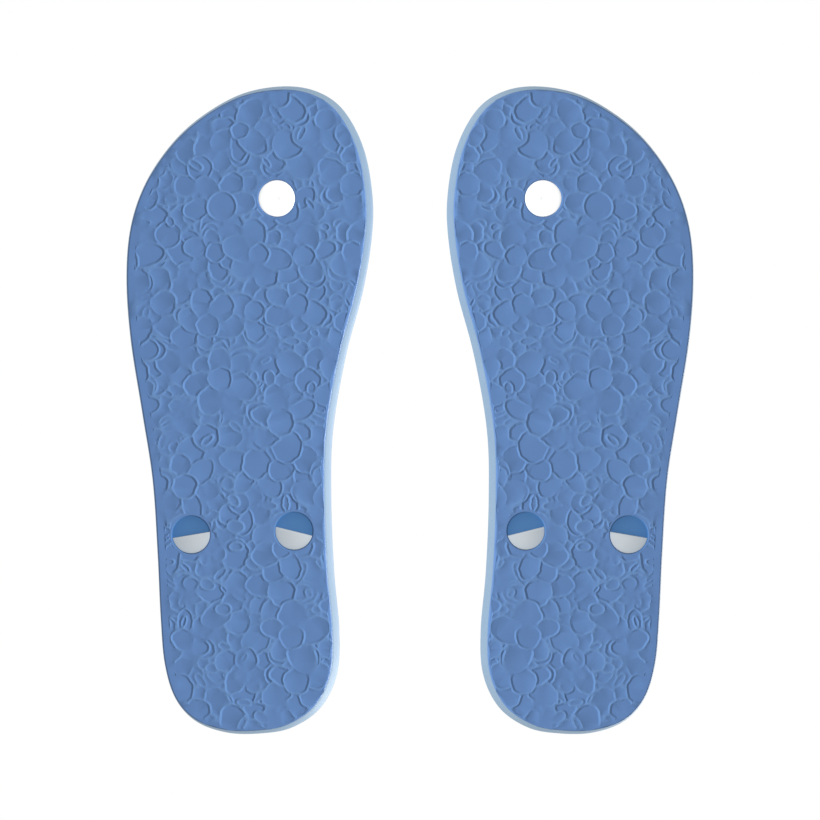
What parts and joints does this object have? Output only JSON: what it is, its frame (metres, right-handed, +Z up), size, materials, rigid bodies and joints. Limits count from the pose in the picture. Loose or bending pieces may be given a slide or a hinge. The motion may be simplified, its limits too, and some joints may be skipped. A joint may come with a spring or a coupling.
{
  "type": "flip flops",
  "caption": "Pair of thong sandals with embossed rubber outsoles, foam midsoles, a Y-shaped strap, a toe post and recessed fixings; each sole bends at the ball of the foot.",
  "frame": {"origin": "centre of the pair on the ground, halfway between heels and toes and midway between the two shoes", "axes": "+Y towards the toes, +X towards the right shoe, +Z up out of the ground; the soles' undersides lie on z = 0"},
  "size_m": [0.2188, 0.2501, 0.0587],
  "materials": {
    "outsole_rubber": "matte",
    "midsole_foam": "matte",
    "footbed_foam": "matte",
    "strap_pvc": "satin",
    "toe_plug_pvc": "satin",
    "anchor_plastic": "satin"
  },
  "bodies": {
    "right_heel": {"right_outsole_heel": "outsole_rubber", "right_midsole_heel": "midsole_foam", "right_footbed_heel": "footbed_foam", "right_strap": "strap_pvc", "right_outer_anchor": "anchor_plastic", "right_inner_anchor": "anchor_plastic"},
    "right_toe": {"right_outsole_toe": "outsole_rubber", "right_midsole_toe": "midsole_foam", "right_footbed_toe": "footbed_foam", "right_toe_post": "strap_pvc", "right_toe_plug": "toe_plug_pvc"},
    "left_heel": {"left_outsole_heel": "outsole_rubber", "left_midsole_heel": "midsole_foam", "left_footbed_heel": "footbed_foam", "left_strap": "strap_pvc", "left_outer_anchor": "anchor_plastic", "left_inner_anchor": "anchor_plastic"},
    "left_toe": {"left_outsole_toe": "outsole_rubber", "left_midsole_toe": "midsole_foam", "left_footbed_toe": "footbed_foam", "left_toe_post": "strap_pvc", "left_toe_plug": "toe_plug_pvc"}
  },
  "joints": [
    {"name": "right_sole_flex", "type": "hinge", "parent": "right_heel", "child": "right_toe", "pos_m": [0.0645, 0.04, 0.01489], "axis": [1, 0, 0], "range_deg": [0, 45], "stiffness_Nm_per_rad": 2.5, "deforming": ["right_strap"]},
    {"name": "left_sole_flex", "type": "hinge", "parent": "left_heel", "child": "left_toe", "pos_m": [-0.0645, 0.04, 0.01489], "axis": [1, 0, 0], "range_deg": [0, 45], "stiffness_Nm_per_rad": 2.5, "deforming": ["left_strap"]},
    {"name": "left_shoe_lift", "type": "slide", "parent": "right_heel", "child": "left_heel", "axis": [0, 0, 1], "range_m": [0, 0.3]}
  ]
}
